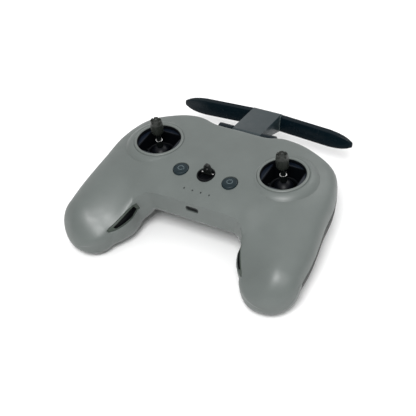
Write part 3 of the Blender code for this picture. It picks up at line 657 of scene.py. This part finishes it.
def cut_far_wall(lower):
    """Holes for the start, shutter and return buttons, the dial, the toggle and the sliding switch."""
    for node in ("start_stop_button", "shutter_button"):
        at = drafting(middle(node))
        combine(lower, rod("hole_" + node, 3.5, 10.0, (at.x, FAR_WALL_Y, at.z), axis='Y'))
    for node, tall in (("gimbal_dial", 5.4), ("mode_switch", 4.2)):
        at = drafting(middle(node))
        combine(lower, rounded(block("hole_" + node, (15.2, 10.0, tall), (at.x, FAR_WALL_Y, at.z)), 0.6, 3))
    x, y, z = CORNER_AT
    combine(lower, block("hole_c2_switch", (7.4, 10.0, 5.8), (-x, y, z), turn=about_z(CORNER_ANGLE)))
    combine(lower, rod("hole_return_button", 3.9, 10.0, (x, y, z), axis='Y', turn=about_z(-CORNER_ANGLE)))


def build_skin_pieces():
    """Grip pads, storage slots and feet."""
    for side, sign in (("left", -1), ("right", 1)):
        pad = patch(side + "_pad_skin", UNDER_SIDE, PAD_SPAN, pad_edges(0.0), 1.0, RUBBER, sign,
                    rows=30, columns=16)
        finish(baked(pad), "case", side + "_grip_pad")
        tray = patch(side + "_slot_rim", INNER_WALL, SLOT_SPAN, slot_edges(-0.01), 2.8, TRAY, sign,
                     offset=-1.4)
        # the hollow's cut faces take the near-black paint: painted shade of the slot's depth, while the
        # hollow itself is shallow
        hollow = patch(side + "_slot_hollow", INNER_WALL, HOLLOW_SPAN, slot_edges(-0.15), 4.0, CAVITY_SHADE, sign,
                       offset=-0.45)
        combine(tray, hollow)
        tray.modifiers[-1].material_mode = 'TRANSFER'
        finish(baked(tray), "case", side + "_stick_tray")
        for end in ("front", "rear"):
            node = "%s_%s_foot" % (side, end)
            finish(refined(node, RUBBER, 0.5, 3), "case", node)


# ---------------------------------------------------------------- gimbals

BEZEL = ((OPENING_R, 0.35), (16.3, 0.75), (16.7, 1.0), (17.3, 1.02), (17.8, 0.85), (18.2, 0.55), (18.35, 0.1),
         (18.35, -2.2), (OPENING_R, -2.2))
LINER = ((15.85, 0.0), (15.95, 0.2), (OPENING_R, 0.3), (OPENING_R, -2.45), (15.85, -2.45))
COLLAR = ((COLLAR_BORE_R, -0.45), (COLLAR_R, -0.45), (COLLAR_R, -5.2), (COLLAR_BORE_R, -5.2))
COLLAR_RIM = ((COLLAR_BORE_R, 0.2), (2.3, 0.2), (2.45, 0.1), (COLLAR_R, -0.05), (COLLAR_R, -0.4),
              (COLLAR_BORE_R, -0.4))
WELL_WIDTH = 24.0
TRIM_REACH = 15.8
TRIM_NEAR = 12.5
TRIM_HALF = 0.12
TRIM_Z = -2.35


def build_gimbal(side, sign):
    at = (sign * GIMBAL_X, 0.0, 0.0)
    pivot = (sign * GIMBAL_X, 0.0, PIVOT_Z)
    build_gimbal_case(side, at, pivot)
    build_yoke(side, pivot)
    build_dome(side, pivot)
    build_stick(side, at)
    build_stick_cap(side, at)


def build_gimbal_case(side, at, pivot):
    """The bezel, its liner, the housing with the square well, and the four trims round the well."""
    finish(turned(side + "_bezel", BEZEL, at, RING_GREY, 128), "case", side + "_gimbal_ring")
    finish(turned(side + "_liner", LINER, at, WELL_BLACK, 128), "case")

    floor = underside(side + "_gimbal_housing")
    cup = [(0.0, -2.5), (RING_R, -2.5), (RING_R, floor + 2.0), (17.7, floor + 0.6), (16.3, floor),
           (0.0, floor)]
    housing = turned(side + "_gimbal_case", cup, at, WELL_BLACK, 128)
    depth = 30.0
    well = block(side + "_well", (WELL_WIDTH, WELL_WIDTH, depth), (at[0], 0.0, 4.0 - depth / 2))
    combine(housing, rounded(well, 1.5, 4))
    combine(housing, rod(side + "_bearing_hole", TRUNNION_BORE_R, 29.0, pivot, axis='X', sides=32))
    finish(baked(housing), "case", side + "_gimbal_housing")

    for k in range(4):
        trim = trim_plate("%s_trim_%d" % (side, k + 1))
        put(trim, at[0], at[1], TRIM_Z, about_z(math.radians(90 * k)))
        finish(baked(rounded(trim, TRIM_HALF, 2)), "case")


def trim_plate(name):
    """The segment between the square well and the round opening."""
    steps = 16
    spread = math.acos(TRIM_NEAR / TRIM_REACH)
    outline = []
    for k in range(steps + 1):
        angle = -spread + 2 * spread * k / steps
        outline.append((TRIM_REACH * math.cos(angle), TRIM_REACH * math.sin(angle)))
    bm = bmesh.new()
    under = [bm.verts.new((x * MM, y * MM, -TRIM_HALF * MM)) for x, y in outline]
    over = [bm.verts.new((x * MM, y * MM, TRIM_HALF * MM)) for x, y in outline]
    bm.faces.new(over)
    bm.faces.new(under[::-1])
    for k in range(len(outline)):
        after = (k + 1) % len(outline)
        bm.faces.new((under[k], under[after], over[after], over[k]))
    return new_object(name, bm, TRIM_BLUE, smooth=False)


def build_yoke(side, pivot):
    """The outer ring, which turns about X on two trunnions."""
    steps = 16
    section = []
    for k in range(steps, 0, -1):
        angle = 2 * math.pi * (k - 1) / steps
        section.append((9.9 + math.cos(angle), 2.3 * math.sin(angle)))
    yoke = turned(side + "_yoke_ring", section, pivot, WELL_BLACK, 96)
    trunnions = rod(side + "_trunnions", TRUNNION_R, 28.0, pivot, axis='X', sides=32)
    combine(trunnions, rod(side + "_trunnion_gap", YOKE_GAP_R, 6.0, pivot))
    combine(yoke, trunnions, 'UNION')
    combine(yoke, rod(side + "_yoke_bore", TRUNNION_BORE_R, WELL_WIDTH, pivot, axis='Y', sides=32))
    finish(baked(yoke), side + "_yoke", side + "_outer_yoke")


def build_dome(side, pivot):
    """The ball at the stick's foot, which turns about Y on two pins."""
    steps = 24
    ball = [(0.0, DOME_R)]
    for k in range(1, steps):
        angle = math.pi * k / steps
        ball.append((DOME_R * math.sin(angle), DOME_R * math.cos(angle)))
    ball.append((0.0, -DOME_R))
    dome = turned(side + "_dome", ball, pivot, DOME_BLACK, 64)
    combine(dome, rod(side + "_dome_pins", TRUNNION_R, 21.4, pivot, axis='Y', sides=32), 'UNION')
    combine(dome, rod(side + "_dome_seat", 2.2, 8.0, (pivot[0], 0.0, PIVOT_Z + 7.0), sides=32))
    finish(baked(dome), side + "_stick", side + "_inner_yoke")


def build_stick(side, at):
    """The post with its dark collar and the collar's bright rim."""
    low = underside(side + "_stick_post")
    high = topside(side + "_stick_post")
    post = [(0.0, high), (1.5, high), (POST_R, high - 0.3), (POST_R, low), (0.0, low)]
    finish(turned(side + "_post", post, at, BLACK, 48), side + "_stick", side + "_stick_post")
    finish(turned(side + "_collar", COLLAR, at, BLACK, 64), side + "_stick", side + "_stick_collar")
    finish(turned(side + "_collar_rim", COLLAR_RIM, at, STEEL, 64), side + "_stick")


def build_stick_cap(side, at):
    """The cap: a barrel with upright grooves, a tapered foot and a crown of six teeth."""
    top = topside(side + "_stick_grip")
    foot = underside(side + "_stick_grip")
    bore = topside(side + "_stick_post") + GAP
    shape = [(0.0, top - 1.7), (2.0, top - 1.6), (2.6, top - 0.9), (3.0, top - 0.1), (3.4, top),
             (3.85, top - 0.15), (4.05, top - 1.0), (4.2, top - 2.4), (4.3, top - 2.8), (4.5, top - 3.2),
             (4.5, foot + 2.0), (4.35, foot + 1.3), (3.95, foot + 0.5), (3.4, foot), (COLLAR_BORE_R, foot),
             (COLLAR_BORE_R, bore), (0.0, bore)]
    cap = turned(side + "_cap", shape, at, STICK, 96)
    for k in range(3):
        across = about_z(math.radians(60 * k + 30))
        combine(cap, block("%s_notch_%d" % (side, k), (12.0, 1.1, 2.4), (at[0], 0.0, top), turn=across))
    grooves = bar_ring(side + "_cap_grooves", 18, 4.62, (0.5, 0.42, 5.8))
    combine(cap, put(grooves, at[0], 0.0, top - 6.5))
    finish(baked(cap, 25.0), side + "_stick", side + "_stick_grip")


# ---------------------------------------------------------------- controls on the face

BUTTON_CAP = ((0.0, 0.5), (2.0, 0.48), (3.6, 0.4), (4.6, 0.25), (5.1, 0.1), (5.4, -0.15), (BUTTON_R, -0.6),
              (BUTTON_R, -4.6), (6.6, -4.6), (6.6, -5.6), (0.0, -5.6))
BUTTON_GROOVE = ((4.15, 0.12), (4.3, 0.12), (4.3, 1.2), (4.15, 1.2))
BUTTON_MARK = ((1.75, 0.56), (2.15, 0.56), (2.15, 0.3), (1.75, 0.3))
DASH = (0.32, 1.5, 0.3)
LANYARD_WELL = ((5.6, -0.75), (5.75, -0.6), (6.3, -0.6), (LOOP_R, -0.75), (LOOP_R, -5.4), (0.0, -5.4),
                (0.0, -4.4), (5.2, -4.4), (5.6, -4.0))


def round_button(node, body):
    """A domed button with a groove near its edge; returns its axis and the level of its rim."""
    centre = drafting(middle(node))
    at = (centre.x, centre.y, topside(node) - 0.5)
    cap = turned(node + "_cap", BUTTON_CAP, at, SLATE, 96)
    combine(cap, turned(node + "_groove", BUTTON_GROOVE, at, sides=96))
    finish(baked(cap, 25.0), body, node)
    return at


def broken_ring(node, at, size, shift, body):
    """The ring marked on a button, opened where a block crosses it."""
    mark = turned(node + "_ring", BUTTON_MARK, at, MARK, 64)
    combine(mark, block("ring_break", size, (at[0] + shift[0], at[1] + shift[1], at[2])))
    finish(baked(mark), body)


def build_face_controls():
    at = round_button("c1_button", "c1")
    broken_ring("c1_button", at, (3.0, 1.6, 2.0), (2.0, 0.0), "c1")
    finish(block("camera_dash", DASH, (at[0] + 2.5, at[1], at[2] + 0.39), paint=MARK), "c1")
    at = round_button("power_button", "power")
    broken_ring("power_button", at, (0.9, 3.0, 2.0), (0.0, 2.0), "power")
    finish(block("power_dash", DASH, (at[0], at[1] + 1.9, at[2] + 0.41), paint=MARK), "power")

    cup_at = drafting(middle("lanyard_cup"))
    cup = turned("lanyard_well", LANYARD_WELL, (0.0, cup_at.y, 0.0), WELL_BLACK, 96)
    pin = drafting(middle("lanyard_pin"))
    combine(cup, rod("lanyard_pin_hole", 0.95, 9.7, tuple(pin), axis='X', sides=24))
    finish(baked(cup), "case", "lanyard_cup")
    finish(refined("lanyard_loop", BLACK, 0.3, 3), "lanyard", "lanyard_loop")
    finish(refined("charging_port", PORT, 0.15, 2), "case", "charging_port")


# ---------------------------------------------------------------- controls on the far wall

DIAL = ((1.3, 2.3), (6.9, 2.3), (7.2, 2.15), (7.4, 1.8), (7.4, -1.8), (7.2, -2.15), (6.9, -2.3), (1.3, -2.3))


def build_far_wall_controls():
    for node, body in (("start_stop_button", "start_stop"), ("shutter_button", "shutter"),
                       ("return_button", "return_home"), ("mode_switch", "mode"), ("c2_switch", "c2")):
        finish(refined(node, SLATE, 0.35, 3), body, node)
    at = drafting(middle("gimbal_dial"))
    wheel = turned("dial_wheel", DIAL, tuple(at), BLACK, 144)
    combine(wheel, put(bar_ring("dial_grooves", 36, 7.5, (0.6, 0.55, 3.4)), *at))
    finish(baked(wheel, 25.0), "dial", "gimbal_dial")


# ---------------------------------------------------------------- antenna

# y, z of the arm seen from the side, its far edge rounded
ARM_OUTLINE = ((40.6, -7.4), (72.8, -12.5), (74.2, -12.9), (75.2, -13.5), (75.8, -14.4), (76.1, -15.6),
               (74.6, -25.6), (74.0, -26.2), (69.6, -25.8), (42.4, -14.0), (40.6, -14.2))
# y, z of a blade where it leaves the arm
BLADE_SECTION = ((74.8, -13.4), (71.6, -14.0), (69.8, -19.8), (69.2, -25.6), (73.0, -26.4), (76.4, -19.5))


def slab(name, outline, start, end, paint):
    """A solid from an outline of (y, z) points between two distances along X."""
    bm = bmesh.new()
    near = [bm.verts.new(place(start, y, z)) for y, z in outline]
    far = [bm.verts.new(place(end, y, z)) for y, z in outline]
    bm.faces.new(near)
    bm.faces.new(far[::-1])
    for k in range(len(outline)):
        after = (k + 1) % len(outline)
        bm.faces.new((near[k], far[k], far[after], near[after]))
    bmesh.ops.recalc_face_normals(bm, faces=bm.faces)
    return new_object(name, bm, paint, smooth=False)


def build_antenna():
    finish(refined("antenna_base", ANTENNA, 0.3, 3), "case", "antenna_base")
    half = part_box("antenna_arm")[1].x / MM
    hinge = tuple(drafting(middle("antenna_pin")))
    arm = slab("arm_plate", ARM_OUTLINE, -half, half, ARM_GREY)
    combine(arm, rod("arm_barrel", 3.5, 2 * half, hinge, axis='X', sides=64), 'UNION')
    combine(arm, rod("arm_bore", 1.5, 2 * half + 4.0, hinge, axis='X', sides=32))
    finish(baked(rounded(arm, 0.35, 3)), "antenna", "antenna_arm")
    for side, sign in (("left", -1), ("right", 1)):
        node = side + "_antenna_blade"
        finish(refined(node, ANTENNA, 0.3, 3, angle=15.0), "antenna", node)
        # a thin pale strip at each blade's root: painted reflection of the chamfer in the gap between arm and
        # blade
        glint_strip = slab(side + "_blade_root_glint", BLADE_SECTION, sign * (half - 0.1), sign * (half + 0.45), BLADE_ROOT_GLINT)
        finish(glint_strip, "antenna")


# ---------------------------------------------------------------- inside and fixings

def paint_inside():
    """Materials for the nodes shown as they are, and the case screws with their cross drives."""
    plain = {"main_board": BOARD, "button_board": BOARD, "lamp_guide": LAMP, "left_battery_cell": SLEEVE,
             "right_battery_cell": SLEEVE, "lanyard_pin": STEEL, "dial_axle": STEEL, "antenna_pin": STEEL}
    for node, paint in plain.items():
        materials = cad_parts[node].data.materials
        materials.clear()
        materials.append(paint)
    for k in (1, 2, 3, 4):
        node = "case_screw_%d" % k
        at = drafting(middle(node))
        head = (at.x, at.y, underside(node))
        screw = refined(node, STEEL, 0.2, 2)
        for turn in (0, 90):
            across = about_z(math.radians(turn + 20 * k))
            combine(screw, block("%s_drive_%d" % (node, turn), (2.8, 0.6, 1.6), head, turn=across))
        finish(baked(screw), "case", node)


# ---------------------------------------------------------------- stage, light and camera

def build_stage():
    bm = bmesh.new()
    bmesh.ops.create_grid(bm, x_segments=8, y_segments=8, size=3.0)
    floor = new_object("floor", bm, smooth=False)
    made, tree, shader = shader_of("pale floor")
    tone = noise(tree, 2.0, 2.0)
    tree.links.new(tinted(tree, tone.outputs["Fac"], (0.84, 0.84, 0.84), (0.88, 0.88, 0.88)),
                   shader.inputs["Base Color"])
    shader.inputs["Roughness"].default_value = 0.9
    floor.data.materials.append(made)


def area_light(name, at, size, power, aim):
    data = bpy.data.lights.new(name, 'AREA')
    data.shape = 'DISK'
    data.size = size
    data.energy = power
    made = bpy.data.objects.new(name, data)
    bpy.context.scene.collection.objects.link(made)
    made.location = Vector(at)
    made.rotation_euler = (Vector(aim) - Vector(at)).to_track_quat('-Z', 'Y').to_euler()


def build_light():
    """A pale sky, brighter overhead and beyond the object, and two soft disks."""
    world = bpy.data.worlds.new("studio")
    bpy.context.scene.world = world
    world.use_nodes = True
    tree = world.node_tree
    sky = tree.nodes["Background"]
    sky.inputs["Color"].default_value = (1.0, 1.0, 1.0, 1.0)
    where = tree.nodes.new("ShaderNodeTexCoord")
    facing = tree.nodes.new("ShaderNodeVectorMath")
    facing.operation = 'DOT_PRODUCT'
    facing.inputs[1].default_value = (0.0, 0.35, 0.94)
    tree.links.new(where.outputs["Generated"], facing.inputs[0])
    tree.links.new(ranged(tree, facing.outputs["Value"], 0.5, 0.95, -0.2, 0.9), sky.inputs["Strength"])
    aim = (0.0, 0.0, 0.03)
    area_light("key", (0.28, -0.62, 1.0), 0.5, 12.5, aim)
    area_light("far", (0.3, 0.9, 0.9), 0.7, 2.5, aim)
    bpy.context.scene.view_settings.view_transform = 'Standard'


def build_camera():
    """The viewpoint, given by its direction from the object, its roll and where it aims."""
    azimuth = math.radians(34.70)
    elevation = math.radians(42.75)
    roll = math.radians(-8.11)
    back = Vector((math.cos(elevation) * math.sin(azimuth), -math.cos(elevation) * math.cos(azimuth),
                   math.sin(elevation)))
    level = Vector((math.cos(azimuth), math.sin(azimuth), 0.0))
    above = back.cross(level)
    right = level * math.cos(roll) + above * math.sin(roll)
    up = above * math.cos(roll) - level * math.sin(roll)
    data = bpy.data.cameras.new("camera")
    data.lens = 84.52
    data.sensor_width = 36.0
    camera = bpy.data.objects.new("camera", data)
    bpy.context.scene.collection.objects.link(camera)
    aside, below, distance = 7.92, 36.16, 687.8
    spot = place(*(right * -aside + up * -below + back * distance))
    camera.matrix_world = Matrix.Translation(spot) @ Matrix((right, up, back)).transposed().to_4x4()
    bpy.context.scene.camera = camera


build_upper_shell()
build_lower_shell()
build_skin_pieces()
for gimbal_side, gimbal_sign in (("left", -1), ("right", 1)):
    build_gimbal(gimbal_side, gimbal_sign)
build_face_controls()
build_far_wall_controls()
build_antenna()
paint_inside()
build_stage()
build_light()
build_camera()

for tool in LEFTOVERS:
    bpy.data.objects.remove(tool, do_unlink=True)
